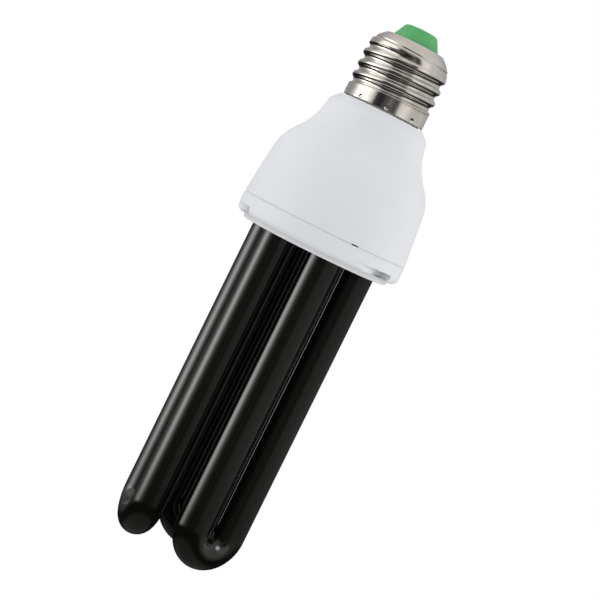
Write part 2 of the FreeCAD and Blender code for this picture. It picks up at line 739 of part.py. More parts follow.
def build():
    core, bobbin, winding = transformer()
    choke_core, choke_winding = choke()
    wall_reach = WAIST_R - HOUSING_WALL - TRANSISTOR_WALL_GAP
    nodes = {
        "screw_shell": screw_shell(),
        "contact_insulator": contact_insulator(),
        "centre_contact": centre_contact(),
        "upper_housing": upper_housing(),
        "tube_holder": tube_holder(),
        "discharge_tube": discharge_tube(),
        "tube_cement": tube_cement(),
        "circuit_board": circuit_board(),
        "reservoir_capacitor": post_at(RESERVOIR_R, RESERVOIR_H, RESERVOIR_AT, BOARD_TOP_Z),
        "transformer_core": core,
        "transformer_bobbin": bobbin,
        "transformer_winding": winding,
        "film_capacitor": box_at(FILM_SIZE, FILM_AT, BOARD_TOP_Z),
        "choke_core": choke_core,
        "choke_winding": choke_winding,
        "input_diode": axial_part(DIODE_R, DIODE_LENGTH, DIODE_AT),
        "bias_resistors": Part.Compound(
            [axial_part(RESISTOR_R, RESISTOR_LENGTH, place) for place in RESISTOR_PLACES]),
        "contact_lead": contact_lead(),
        "shell_lead": shell_lead(),
        "filament_wires": filament_wires(),
        "transistor_front": transistor((TRANSISTOR_FRONT_X, -wall_reach), 0.0),
        "transistor_right": transistor((wall_reach, TRANSISTOR_RIGHT_Y), 90.0),
    }
    os.makedirs("parts", exist_ok=True)
    for name, shape in nodes.items():
        shape.exportStep("parts/" + name + ".step")


build()
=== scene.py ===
import math

import bmesh
import bpy
from mathutils import Matrix, Vector


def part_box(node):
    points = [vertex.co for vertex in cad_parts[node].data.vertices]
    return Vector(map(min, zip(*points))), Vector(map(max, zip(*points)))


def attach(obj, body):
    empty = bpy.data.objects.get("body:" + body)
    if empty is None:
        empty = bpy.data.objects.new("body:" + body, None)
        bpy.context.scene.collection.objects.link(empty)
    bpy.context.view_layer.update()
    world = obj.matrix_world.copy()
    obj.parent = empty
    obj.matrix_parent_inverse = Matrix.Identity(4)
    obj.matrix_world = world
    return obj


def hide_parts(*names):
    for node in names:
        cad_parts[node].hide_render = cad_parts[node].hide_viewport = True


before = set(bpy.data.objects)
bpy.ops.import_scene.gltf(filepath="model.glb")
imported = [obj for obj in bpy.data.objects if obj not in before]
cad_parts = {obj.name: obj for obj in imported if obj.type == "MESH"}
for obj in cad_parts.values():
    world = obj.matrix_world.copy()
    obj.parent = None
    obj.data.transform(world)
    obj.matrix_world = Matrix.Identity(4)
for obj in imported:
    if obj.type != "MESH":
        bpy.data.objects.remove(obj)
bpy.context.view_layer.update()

# Looks of a three-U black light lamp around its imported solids. Outlines are in millimetres, as
# (radius from the axis, z), and turn into metres when a mesh is made. Azimuths are in degrees
# from -Y, the side that faces the viewer, towards +X.
MM = 0.001
SHARP_ANGLE = 30.0
WELD_DISTANCE = 1e-7
FIT = 0.05


def node_mm(name):
    """Lowest and highest corner of a solid, in millimetres."""
    low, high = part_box(name)
    return low / MM, high / MM


SHELL_HIGH = node_mm("screw_shell")[1]
BELL_LOW, BELL_HIGH = node_mm("upper_housing")
HOLDER_LOW, HOLDER_HIGH = node_mm("tube_holder")
TUBE_LOW = node_mm("discharge_tube")[0]
GREEN_LOW, GREEN_HIGH = node_mm("contact_insulator")
RIVET_LOW, RIVET_HIGH = node_mm("centre_contact")

# Screw shell: the skirt is narrower than the crests and widens to them inside the thread
CREST_R = SHELL_HIGH.x
SKIRT_R = CREST_R - 0.2
FLARE_LOW = 4.4
FLARE_HIGH = 7.4
SKIRT_CURL = 0.15
SHELL_TOP = SHELL_HIGH.z
SHELL_WALL = 0.35
SKIRT_BORE_R = SKIRT_R - SHELL_WALL
SKIRT_BORE_TOP = 1.6
BORE_R = CREST_R - 1.45
BORE_FOOT = 2.7
BORE_HEAD = SHELL_TOP - 3.07
MOUTH_R = CREST_R - 5.6
MOUTH_ROUND = 0.25
SHELL_SEGMENTS = 360
ROW_STEP = 0.13
SHELL_SHARP_ANGLE = 50.0
# Dome above the thread: (inset from the crests, drop below the top, rounding)
DOME_H = 6.0
DOME_CORNERS = ((0.45, 4.7, 0.0), (0.7, 3.5, 0.0), (2.1, 1.6, 1.2), (3.9, 0.0, 0.8))
DOME_STEP = 0.12
# Inside of the dome: (inset from the crests, drop below the top)
DOME_INSIDE = ((4.05, SHELL_WALL), (2.38, 1.81))
# Dark joint: the shell's edge stands over the collar, and a groove in the collar lies under it
JOINT_GAP = 0.46
JOINT_GROOVE = 0.9
JOINT_CLEAR = 0.1
# Crease rolled round the dome, a little out of level
CREASE_Z = 19.05
CREASE_TILT = 0.5
CREASE_DEPTH = 0.3
CREASE_HALF_WIDTH = 0.27

# Rolled knuckle thread, right-handed, which fades out over part of a turn at each end
PITCH = 3.629
THREAD_DEPTH = 1.1
FIRST_ROOT_Z = 6.09
THREAD_START = -150.0
THREAD_TURNS = 13.0 / PITCH
RUN_IN_TURNS = 0.2
RUN_OUT_TURNS = 0.28

# Eased corners where the thread cuts into the wall and into the dome
WALL_BLEND = 0.05
DOME_BLEND = 0.4

# Punch marks round the skirt
PUNCH_COUNT = 9
PUNCH_START = -37.0
PUNCH_Z = 1.3
PUNCH_R = 0.55
PUNCH_DEPTH = 0.27

# Insulator and rivet
TIP_Z = GREEN_HIGH.z
FOOT_R = MOUTH_R - 0.1
TIP_R = FOOT_R - 2.4
TIP_ROUND = 1.5
FLANGE_R = CREST_R - 4.3
FLANGE_DROP = 2.3
RIVET_R = RIVET_HIGH.x
RIVET_SHANK_R = 1.1
RIVET_SEAT = 0.5
RIVET_STEPS = 8
RIVET_SEGMENTS = 96

# Bell
COLLAR_TOP_R = CREST_R + 0.4
COLLAR_TOP_ROUND = 0.25
COLLAR_R = COLLAR_TOP_R + 2.45
COLLAR_H = 2.4
COLLAR_ROUND = 0.75
WAIST_R = COLLAR_R + 1.21
WAIST_Z = -9.45
WAIST_ROUND = 20.0
HOLDER_R = HOLDER_HIGH.x
PARTING_R = HOLDER_R - 0.1
PARTING_Z = BELL_LOW.z
BELLY_R = PARTING_R - 2.05
BELLY_Z = -18.7
BELLY_ROUND = 15.0
BELL_WALL = 1.7
# Inside corners of the bell lie a little lower than the outside ones
BELLY_DROP = 0.6
SHOULDER_DROP = 1.0
NECK_R = BORE_R - FIT
NECK_BORE_R = NECK_R - 1.4
NECK_TOP = BELL_HIGH.z
PARTING_CHAMFER = 0.35
PARTING_BAND = 0.5
PARTING_ROUND = 0.1
BELL_SEGMENTS = 256
# Narrow clip windows in the bell's lower edge, and the relief that each has in the holder's lip
CLIP_COUNT = 3
CLIP_AZIMUTH = 22.5
CLIP_WIDTH = 2.4
CLIP_HEIGHT = 0.4
CLIP_EDGE = 0.04
CLIP_RELIEF = 0.8

# Holder
PLATE_R = HOLDER_R - 2.9
PLATE_BOTTOM = HOLDER_LOW.z
PLATE_TOP = PLATE_BOTTOM + 2.0
PLATE_EDGE = 0.35
PLATE_EDGE_START = 0.5
PLATE_EDGE_RISE = 0.02
RIM_BOTTOM = PLATE_BOTTOM + 1.3
RIM_ROUND = 1.9
RIM_STEP = 0.4
RIM_STUB = 0.01
LIP_TOP = HOLDER_HIGH.z
LIP_R = PARTING_R - BELL_WALL - 0.3
LIP_WALL = 1.3
LIP_TAPER = 0.3
HOLE_CLEAR = 0.3
HOLE_CUT_DEPTH = 6.0
HOLE_SEGMENTS = 96
# Rim notches over a low sill, each a ramp that deepens from a step and ends in a pocket
NOTCH_COUNT = 3
FIRST_NOTCH_AZIMUTH = 45.0
NOTCH_SPAN = 36.0
NOTCH_EDGE = 0.5
NOTCH_EDGE_STEPS = 5
NOTCH_H = 2.5
NOTCH_SILL = 0.6
NOTCH_STEP = 0.2
NOTCH_RAMP = 2.4
POCKET_SPAN = 13.0
POCKET_EASE = 3.0
POCKET_DEPTH = 2.0

# Glass
TUBE_R = 5.2
LEG_SPACING = 14.3
U_OFFSET = 13.5
U_AZIMUTHS = (42.5, 168.5, 286.5)
LEG_TOP = -33.0
LEG_TAPER = 2.2
LEG_END_R = 3.0
BRIDGE_R = 2.8
BRIDGE_DROP = 3.4
BRIDGE_SEGMENTS = 48
PINCH_SIZE = (6.4, 2.4, 5.1)
TUBE_SEGMENTS = 96
LEG_STEPS = 12
BEND_STEPS = 64

# Camera and studio
CAMERA_DISTANCE = 568.2
CAMERA_TILT = 3.8
LAMP_LEAN = 26.23
AIM = (2.73, 0.0, -60.71)
FOCAL_PIXELS = 1900.9
IMAGE_PIXELS = 600
SENSOR_WIDTH = 36.0
FLOOR_Z = -300.0
FLOOR_R = 600.0
FLOOR_SEGMENTS = 64
FLOOR_GLOW = 0.5

# Even light that soft surfaces get
SOFT_LEVEL = 0.95
# Studio that gloss mirrors, below and above the horizon as (azimuth, strength): a tall window on
# the left, a dim middle where the camera stands and a pale wall on the right
BRIGHTEST = 8.0
WARM_WHITE = (1.0, 0.985, 0.96)
LOW_ROOM = (
    (-180, 0.02), (-140, 0.12), (-124, 0.35), (-110, 1.2), (-98, 3.2), (-90, 5.2), (-82, 6.0),
    (-74, 5.0), (-66, 2.8), (-58, 1.3), (-48, 0.5), (-36, 0.15), (-20, 0.07), (-8, 0.12),
    (8, 0.08), (18, 0.14), (30, 0.3), (75, 0.35), (110, 0.3), (135, 0.15), (180, 0.02))
HIGH_ROOM = (
    (-180, 0.42), (-125, 0.38), (-108, 0.6), (-90, 1.55), (-56, 1.7), (-44, 1.15), (-31, 0.05),
    (-16, 0.02), (-2, 0.08), (9, 0.2), (22, 0.06), (30, 0.15), (38, 0.9), (56, 1.15),
    (76, 0.65), (116, 0.65), (146, 0.5), (180, 0.42))
CEILING = 0.78
UNDER = 0.015
GROUND = 0.17
# Where one part of the studio passes into the next, as the z of a direction
HORIZON_BAND = (-0.03, 0.03)
UNDER_BAND = (-0.12, -0.30)
GROUND_BAND = (-0.55, -0.80)
CEILING_BAND = (0.3, 1.0)
# Large soft lamps: (name, azimuth, distance, height, size, power)
LAMP_TARGET = (0.0, 0.0, -40.0)
SOFT_LAMPS = (
    ("side_left", -105.0, 700.0, 60.0, (500, 700), 0.8),
    ("side_right", 105.0, 700.0, 60.0, (500, 700), 1.1),
    ("front_top", -20.0, 800.0, 420.0, (600, 400), 0.3))
# Soft glint in the front bend, made by a wide disc and a smaller one in front of it:
# (name, distance, size, power)
GLINT_TARGET = (12.5, -11.0, -137.0)
GLINT_DIRECTION = (0.521, -0.397, 0.756)
GLINT_SPREAD = 40.0
GLINT_DISCS = (("glint_wide", 150.0, 85.0, 0.004), ("glint_small", 148.0, 38.0, 0.0006))


def at_azimuth(azimuth, radius, z=0.0):
    """Point in metres at a radius from the axis, seen from -Y round towards +X."""
    a = math.radians(azimuth)
    return Vector((radius * math.sin(a), -radius * math.cos(a), z)) * MM


def from_nearest(azimuth, first, count):
    """Degrees from the nearest of some evenly spaced places to an azimuth."""
    step = 360 / count
    return (azimuth - first + step / 2) % step - step / 2


def smoothstep(low, high, value):
    """Zero below a range, one above it and an eased share between."""
    share = min(max((value - low) / (high - low), 0.0), 1.0)
    return share * share * (3 - 2 * share)


def arc_corner(before, corner, after, rounding, step=7.0):
    """Points of the arc that rounds a corner between two straight runs."""
    point = Vector(corner)
    back = (Vector(before) - point).normalized()
    ahead = (Vector(after) - point).normalized()
    half = back.angle(ahead) / 2
    if rounding <= 0 or math.pi / 2 - half < 1e-6:
        return [tuple(point)]
    centre = point + (back + ahead).normalized() * (rounding / math.sin(half))
    start = point + back * (rounding / math.tan(half)) - centre
    sweep = start.angle_signed(point + ahead * (rounding / math.tan(half)) - centre)
    count = max(2, math.ceil(abs(math.degrees(sweep)) / step))
    points = []
    for i in range(count + 1):
        turn = Matrix.Rotation(-sweep * i / count, 2)
        points.append(tuple(centre + turn @ start))
    return points


def outline(corners, closed):
    """Outline with rounded corners; a corner is (radius, z) or (radius, z, rounding)."""
    last = len(corners) - 1
    points = []
    for i, corner in enumerate(corners):
        rounding = corner[2] if len(corner) > 2 else 0.0
        if not closed and i in (0, last):
            rounding = 0.0
        before = corners[i - 1][:2] if i else corners[-1][:2]
        after = corners[(i + 1) % len(corners)][:2]
        points += arc_corner(before, corner[:2], after, rounding)
    return points


def divided(points, step):
    """Same outline with its long runs cut into steps."""
    finer = [points[0]]
    for one, other in zip(points, points[1:]):
        count = max(1, math.ceil(math.dist(one, other) / step))
        for i in range(1, count + 1):
            finer.append(blended(one, other, i / count))
    return finer


def blended(one, other, share):
    """Point between two outline points."""
    return (one[0] + (other[0] - one[0]) * share, one[1] + (other[1] - one[1]) * share)


def new_piece(name, bm, sharp=SHARP_ANGLE):
    """Object from a bmesh, shaded smooth except over edges sharper than an angle."""
    bmesh.ops.recalc_face_normals(bm, faces=bm.faces)
    mesh = bpy.data.meshes.new(name)
    bm.to_mesh(mesh)
    bm.free()
    mesh.shade_smooth()
    mesh.set_sharp_from_angle(angle=math.radians(sharp))
    piece = bpy.data.objects.new(name, mesh)
    bpy.context.scene.collection.objects.link(piece)
    return piece


def revolved_mesh(profile_at, azimuths, closed):
    """Mesh round the axis; profile_at gives the outline at each azimuth, always as many points."""
    bm = bmesh.new()
    rings = []
    for azimuth in azimuths:
        rings.append([bm.verts.new(at_azimuth(azimuth, r, z)) for r, z in profile_at(azimuth)])
    count = len(rings[0])
    for one, other in zip(rings, rings[1:] + rings[:1]):
        for i in range(count if closed else count - 1):
            k = (i + 1) % count
            bm.faces.new((one[i], one[k], other[k], other[i]))
    bmesh.ops.remove_doubles(bm, verts=bm.verts, dist=WELD_DISTANCE)
    return bm


def turned_piece(name, corners, closed, segments=160):
    """Plain turned piece with the same outline all round."""
    points = outline(corners, closed)
    azimuths = [360 * i / segments for i in range(segments)]
    return new_piece(name, revolved_mesh(lambda azimuth: points, azimuths, closed))


def boolean(piece, tool, operation):
    """Piece after a boolean with another, which is then deleted."""
    modifier = piece.modifiers.new("boolean", "BOOLEAN")
    modifier.operation = operation
    modifier.object = tool
    modifier.solver = "EXACT"
    graph = bpy.context.evaluated_depsgraph_get()
    mesh = bpy.data.meshes.new_from_object(piece.evaluated_get(graph))
    piece.modifiers.clear()
    piece.data = mesh
    bpy.data.objects.remove(tool)
    mesh.shade_smooth()
    mesh.set_sharp_from_angle(angle=math.radians(SHARP_ANGLE))
    return piece


def thread_depth_at(azimuth, z):
    """Depth of the thread's groove below the crests."""
    turns = round((z - FIRST_ROOT_Z) / PITCH - azimuth / 360)
    along = azimuth + 360 * turns - THREAD_START
    offset = abs(z - FIRST_ROOT_Z - PITCH * (azimuth / 360 + turns))
    run = along / 360
    fade = min(1.0, run / RUN_IN_TURNS, (THREAD_TURNS - run) / RUN_OUT_TURNS)
    fade = smoothstep(0.0, 1.0, fade)
    arc = ((PITCH / 2) ** 2 + THREAD_DEPTH ** 2) / (4 * THREAD_DEPTH)
    if offset < PITCH / 4:
        depth = THREAD_DEPTH - arc + math.sqrt(arc * arc - offset * offset)
    else:
        side = PITCH / 2 - offset
        depth = arc - math.sqrt(arc * arc - side * side)
    return depth * fade


def punch_depth_at(azimuth, z):
    """Depth of the nearest punch mark in the skirt."""
    nearest = round((azimuth - PUNCH_START) * PUNCH_COUNT / 360)
    away = azimuth - PUNCH_START - nearest * 360 / PUNCH_COUNT
    across = math.radians(away) * SKIRT_R
    reach = math.hypot(across, z - PUNCH_Z) / PUNCH_R
    return PUNCH_DEPTH * math.exp(-reach ** 4)


def soft_min(a, b, blend):
    """Smaller of two radii, with the corner between them eased."""
    share = max(blend - abs(a - b), 0.0) / blend
    return min(a, b) - share * share * blend / 4


def crease_depth_at(azimuth, z):
    """Depth of the crease round the dome."""
    middle = CREASE_Z - CREASE_TILT * math.sin(math.radians(azimuth))
    return CREASE_DEPTH * math.exp(-((z - middle) / CREASE_HALF_WIDTH) ** 2)


def screw_shell():
    """Thin nickel-plated shell with its round thread, punch marks, creased dome and curled edge."""
    low = SHELL_TOP - DOME_H
    curl_top = JOINT_GAP + SKIRT_CURL
    rows = round((low - curl_top) / ROW_STEP)
    wall = outline((
        (SKIRT_BORE_R, JOINT_GAP),
        (SKIRT_R, JOINT_GAP, SKIRT_CURL),
        (SKIRT_R, curl_top + ROW_STEP)), False)[1:-1]
    for i in range(1, rows + 1):
        z = curl_top + (low - curl_top) * i / rows
        wall.append((SKIRT_R + (CREST_R - SKIRT_R) * smoothstep(FLARE_LOW, FLARE_HIGH, z), z))
    corners = [(CREST_R, low)]
    for inset, drop, rounding in DOME_CORNERS:
        corners.append((CREST_R - inset, SHELL_TOP - drop, rounding))
    corners += [(MOUTH_R, SHELL_TOP, MOUTH_ROUND), (MOUTH_R, SHELL_TOP - SHELL_WALL)]
    dome = divided(outline(corners, False), DOME_STEP)[1:]
    inside = [(CREST_R - inset, SHELL_TOP - drop) for inset, drop in DOME_INSIDE]
    inside += [
        (BORE_R, BORE_HEAD),
        (BORE_R, BORE_FOOT),
        (SKIRT_BORE_R, SKIRT_BORE_TOP),
        (SKIRT_BORE_R, JOINT_GAP)]

    def profile(azimuth):
        points = []
        for r, z in wall:
            cut = CREST_R - thread_depth_at(azimuth, z)
            points.append((soft_min(r, cut, WALL_BLEND) - punch_depth_at(azimuth, z), z))
        for r, z in dome:
            cut = CREST_R - thread_depth_at(azimuth, z)
            if r > BORE_R:
                r = soft_min(r, cut, DOME_BLEND)
            points.append((r - crease_depth_at(azimuth, z), z))
        return points + inside

    azimuths = [360 * i / SHELL_SEGMENTS - 180 for i in range(SHELL_SEGMENTS)]
    shell = revolved_mesh(profile, azimuths, True)
    return new_piece("screw_shell_plated", shell, SHELL_SHARP_ANGLE)


def contact_insulator():
    """Green moulding with its cone, rounded end and the dish for the rivet."""
    return turned_piece("insulator_green", (
        (RIVET_SHANK_R + FIT, GREEN_LOW.z),
        (RIVET_SHANK_R + FIT, TIP_Z - RIVET_SEAT),
        (RIVET_R + FIT, TIP_Z - RIVET_SEAT),
        (RIVET_R + FIT, TIP_Z, 0.1),
        (TIP_R, TIP_Z, TIP_ROUND),
        (FOOT_R, SHELL_TOP),
        (FOOT_R, SHELL_TOP - SHELL_WALL - FIT),
        (FLANGE_R, SHELL_TOP - SHELL_WALL - FIT),
        (GREEN_HIGH.x - FIT, SHELL_TOP - FLANGE_DROP),
        (GREEN_HIGH.x - FIT, GREEN_LOW.z)), True)


def centre_contact():
    """Rivet with a low domed head."""
    crown = RIVET_HIGH.z - TIP_Z
    dome_r = (RIVET_R ** 2 + crown ** 2) / (2 * crown)
    head = []
    for i in range(RIVET_STEPS + 1):
        r = RIVET_R * i / RIVET_STEPS
        head.append((r, RIVET_HIGH.z - dome_r + math.sqrt(dome_r ** 2 - r ** 2)))
    return turned_piece("contact_rivet", head + [
        (RIVET_R, TIP_Z - RIVET_SEAT),
        (RIVET_SHANK_R, TIP_Z - RIVET_SEAT),
        (RIVET_SHANK_R, RIVET_LOW.z),
        (0.0, RIVET_LOW.z)], False, RIVET_SEGMENTS)


def clip_share(azimuth):
    """One inside a clip window of the bell's lower edge, none outside."""
    away = from_nearest(azimuth, CLIP_AZIMUTH, CLIP_COUNT)
    half = math.degrees(CLIP_WIDTH / 2 / PARTING_R)
    return smoothstep(-half, -half + CLIP_EDGE, away) * smoothstep(-half, -half + CLIP_EDGE, -away)


def upper_housing():
    """Bell of white plastic, with its collar, waist, belly, neck and three clip windows."""
    taper = (PARTING_R - BELLY_R) / (BELLY_Z - PARTING_Z)
    lip_r = PARTING_R - taper * PARTING_CHAMFER
    points = outline((
        (COLLAR_TOP_R, 0.0, COLLAR_TOP_ROUND),
        (COLLAR_R, -COLLAR_H, COLLAR_ROUND),
        (WAIST_R, WAIST_Z, WAIST_ROUND),
        (BELLY_R, BELLY_Z, BELLY_ROUND),
        (lip_r, PARTING_Z + PARTING_CHAMFER + PARTING_BAND),
        (lip_r, PARTING_Z + PARTING_CHAMFER, PARTING_ROUND),
        (PARTING_R - PARTING_CHAMFER, PARTING_Z),
        (PARTING_R - BELL_WALL, PARTING_Z),
        (BELLY_R - BELL_WALL, BELLY_Z - BELLY_DROP),
        (WAIST_R - BELL_WALL, WAIST_Z - SHOULDER_DROP),
        (COLLAR_R - BELL_WALL, -COLLAR_H - SHOULDER_DROP),
        (NECK_BORE_R, -BELL_WALL),
        (NECK_BORE_R, NECK_TOP),
        (NECK_R, NECK_TOP),
        (NECK_R, -JOINT_GROOVE),
        (SKIRT_R + JOINT_CLEAR, -JOINT_GROOVE),
        (SKIRT_R + JOINT_CLEAR, 0.0)), True)

    def profile(azimuth):
        lift = CLIP_HEIGHT * clip_share(azimuth)
        return [(r, max(z, PARTING_Z + lift)) for r, z in points]

    azimuths = [360 * i / BELL_SEGMENTS for i in range(BELL_SEGMENTS)]
    half = math.degrees(CLIP_WIDTH / 2 / PARTING_R)
    for i in range(CLIP_COUNT):
        for side in (-half, half - CLIP_EDGE):
            edge = CLIP_AZIMUTH + 360 * i / CLIP_COUNT + side
            azimuths += [edge % 360, (edge + CLIP_EDGE) % 360]
    return new_piece("housing_bell", revolved_mesh(profile, sorted(set(azimuths)), True))


def notch_share(azimuth):
    """Depth of a rim notch at an azimuth, and the share of its deep pocket."""
    away = from_nearest(azimuth, FIRST_NOTCH_AZIMUTH, NOTCH_COUNT)
    half = NOTCH_SPAN / 2
    start = half - POCKET_SPAN
    inside = smoothstep(-half, -half + NOTCH_EDGE, away)
    inside *= smoothstep(-half, -half + NOTCH_EDGE, -away)
    ramp = min(max((away + half) / (start + half), 0.0), 1.0)
    depth = inside * (NOTCH_STEP + (NOTCH_RAMP - NOTCH_STEP) * ramp ** 2)
    return depth, inside * smoothstep(start, start + POCKET_EASE, away)


def tube_holder():
    """Shallow cap with its rounded rim, three notches, the proud plate and its six holes."""
    rim = divided(outline((
        (PLATE_R, RIM_BOTTOM),
        (HOLDER_R, RIM_BOTTOM, RIM_ROUND),
        (HOLDER_R, RIM_BOTTOM + RIM_ROUND + RIM_STUB)), False), RIM_STEP)
    ceiling = RIM_BOTTOM + NOTCH_H
    back = PLATE_R - POCKET_DEPTH
    hollow = [point for point in rim if point[1] <= RIM_BOTTOM + NOTCH_SILL]
    sill = len(hollow)
    sill_r, sill_z = hollow[-1]
    for i in range(1, len(rim) - sill + 1):
        way = 2 * i / (len(rim) - sill)
        across = blended((sill_r, sill_z), (back, sill_z), min(way, 1.0))
        hollow.append(blended(across, (back, ceiling), max(way - 1.0, 0.0)))

    def profile(azimuth):
        depth, pocket = notch_share(azimuth)
        wall = HOLDER_R - depth
        lip = LIP_R - CLIP_RELIEF * clip_share(azimuth)
        points = [
            (0.0, PLATE_BOTTOM),
            (PLATE_R - PLATE_EDGE_START, PLATE_BOTTOM),
            (PLATE_R - PLATE_EDGE, PLATE_BOTTOM + PLATE_EDGE_RISE),
            (PLATE_R, PLATE_BOTTOM + PLATE_EDGE)]
        points += rim[:sill]
        for plain, deep in zip(rim[sill:], hollow[sill:]):
            points.append(blended((min(plain[0], wall), plain[1]), deep, pocket))
        points += [
            blended((wall, ceiling), (back, ceiling), pocket),
            (HOLDER_R, ceiling),
            (HOLDER_R, PARTING_Z - PARTING_CHAMFER),
            (HOLDER_R - PARTING_CHAMFER, PARTING_Z),
            (lip, PARTING_Z),
            (min(lip, LIP_R - LIP_TAPER), LIP_TOP),
            (LIP_R - LIP_WALL, LIP_TOP),
            (LIP_R - LIP_WALL, PLATE_TOP),
            (0.0, PLATE_TOP)]
        return points

    azimuths = [float(i) for i in range(360)]
    for i in range(NOTCH_COUNT):
        middle = FIRST_NOTCH_AZIMUTH + 360 * i / NOTCH_COUNT
        for edge in (-NOTCH_SPAN / 2, NOTCH_SPAN / 2 - NOTCH_EDGE):
            for k in range(NOTCH_EDGE_STEPS):
                share = (k + 0.5) / NOTCH_EDGE_STEPS
                azimuths.append((middle + edge + NOTCH_EDGE * share) % 360)
    azimuths = sorted(set(azimuths))
    holder = new_piece("holder_cap", revolved_mesh(profile, azimuths, False))
    for place in leg_places():
        bm = bmesh.new()
        radius = (TUBE_R + HOLE_CLEAR) * MM
        bmesh.ops.create_cone(
            bm, cap_ends=True, segments=HOLE_SEGMENTS, radius1=radius, radius2=radius,
            depth=HOLE_CUT_DEPTH * MM)
        middle = place + Vector((0, 0, (PLATE_BOTTOM + PLATE_TOP) / 2 * MM))
        bmesh.ops.translate(bm, vec=middle, verts=bm.verts)
        boolean(holder, new_piece("hole_cutter", bm), "DIFFERENCE")
    return holder


def leg_azimuths():
    """Azimuths of the two legs of each U, in order round the lamp."""
    lean = math.degrees(math.atan2(LEG_SPACING / 2, U_OFFSET))
    return [(middle - lean, middle + lean) for middle in U_AZIMUTHS]


def leg_circle_r():
    """Radius of the circle that the six legs stand on."""
    return math.hypot(LEG_SPACING / 2, U_OFFSET)


def leg_places():
    """Centres of all six legs, in metres."""
    return [at_azimuth(azimuth, leg_circle_r()) for pair in leg_azimuths() for azimuth in pair]


def u_stations():
    """Centre, direction and radius along one U in its own plane: across and z, in millimetres."""
    half = LEG_SPACING / 2
    bend_z = TUBE_LOW.z + TUBE_R + half
    shoulder = LEG_TOP - LEG_TAPER
    stations = [((-half, LEG_TOP), (0, -1), LEG_END_R), ((-half, shoulder), (0, -1), TUBE_R)]
    for i in range(1, LEG_STEPS):
        z = shoulder + (bend_z - shoulder) * i / LEG_STEPS
        stations.append(((-half, z), (0, -1), TUBE_R))
    for i in range(BEND_STEPS + 1):
        a = math.pi * i / BEND_STEPS
        centre = (-half * math.cos(a), bend_z - half * math.sin(a))
        stations.append((centre, (math.sin(a), -math.cos(a)), TUBE_R))
    for (x, z), _, radius in reversed(stations[:LEG_STEPS + 1]):
        stations.append(((-x, z), (0, 1), radius))
    return stations


def u_tube(azimuth):
    """One bent glass tube, closed at both ends."""
    bm = bmesh.new()
    rings = []
    for (x, z), (dx, dz), radius in u_stations():
        ring = []
        for i in range(TUBE_SEGMENTS):
            a = 2 * math.pi * i / TUBE_SEGMENTS
            side = radius * math.cos(a)
            out = radius * math.sin(a)
            place = Vector((x + side * -dz, -U_OFFSET - out, z + side * dx)) * MM
            ring.append(bm.verts.new(place))
        rings.append(ring)
    for one, other in zip(rings, rings[1:]):
        for i in range(TUBE_SEGMENTS):
            k = (i + 1) % TUBE_SEGMENTS
            bm.faces.new((one[i], one[k], other[k], other[i]))
    bm.faces.new(rings[0])
    bm.faces.new(rings[-1])
    turn = Matrix.Rotation(math.radians(azimuth), 3, "Z")
    bmesh.ops.rotate(bm, cent=(0, 0, 0), matrix=turn, verts=bm.verts)
    return new_piece("black_tubes", bm)


def bridge(from_azimuth, to_azimuth):
    """Short cross tube between two neighbouring legs."""
    z = LEG_TOP - BRIDGE_DROP
    start = at_azimuth(from_azimuth, leg_circle_r(), z)
    end = at_azimuth(to_azimuth, leg_circle_r(), z)
    bm = bmesh.new()
    bmesh.ops.create_cone(
        bm, cap_ends=True, segments=BRIDGE_SEGMENTS, radius1=BRIDGE_R * MM,
        radius2=BRIDGE_R * MM, depth=(end - start).length)
    turn = (end - start).to_track_quat("Z", "Y").to_matrix()
    bmesh.ops.rotate(bm, cent=(0, 0, 0), matrix=turn, verts=bm.verts)
    bmesh.ops.translate(bm, vec=(start + end) / 2, verts=bm.verts)
    return new_piece("bridge", bm)


def pinch(azimuth):
    """Flattened glass seal above an electrode leg."""
    bm = bmesh.new()
    bmesh.ops.create_cube(bm, size=1.0)
    bmesh.ops.scale(bm, vec=Vector(PINCH_SIZE) * MM, verts=bm.verts)
    low = LEG_TOP - LEG_TAPER / 2
    middle = at_azimuth(0.0, leg_circle_r(), low + PINCH_SIZE[2] / 2)
    bmesh.ops.translate(bm, vec=middle, verts=bm.verts)
    turn = Matrix.Rotation(math.radians(azimuth), 3, "Z")
    bmesh.ops.rotate(bm, cent=(0, 0, 0), matrix=turn, verts=bm.verts)
    return new_piece("pinch", bm)


def discharge_tube():
    """All the black glass as one closed piece."""
    pairs = leg_azimuths()
    tubes = [u_tube(azimuth) for azimuth in U_AZIMUTHS]
    glass = tubes[0]
    for other in tubes[1:]:
        boolean(glass, other, "UNION")
    for one, other in zip(pairs, pairs[1:]):
        boolean(glass, bridge(one[1], other[0]), "UNION")
    for azimuth in (pairs[-1][1], pairs[0][0]):
        boolean(glass, pinch(azimuth), "UNION")
    return glass


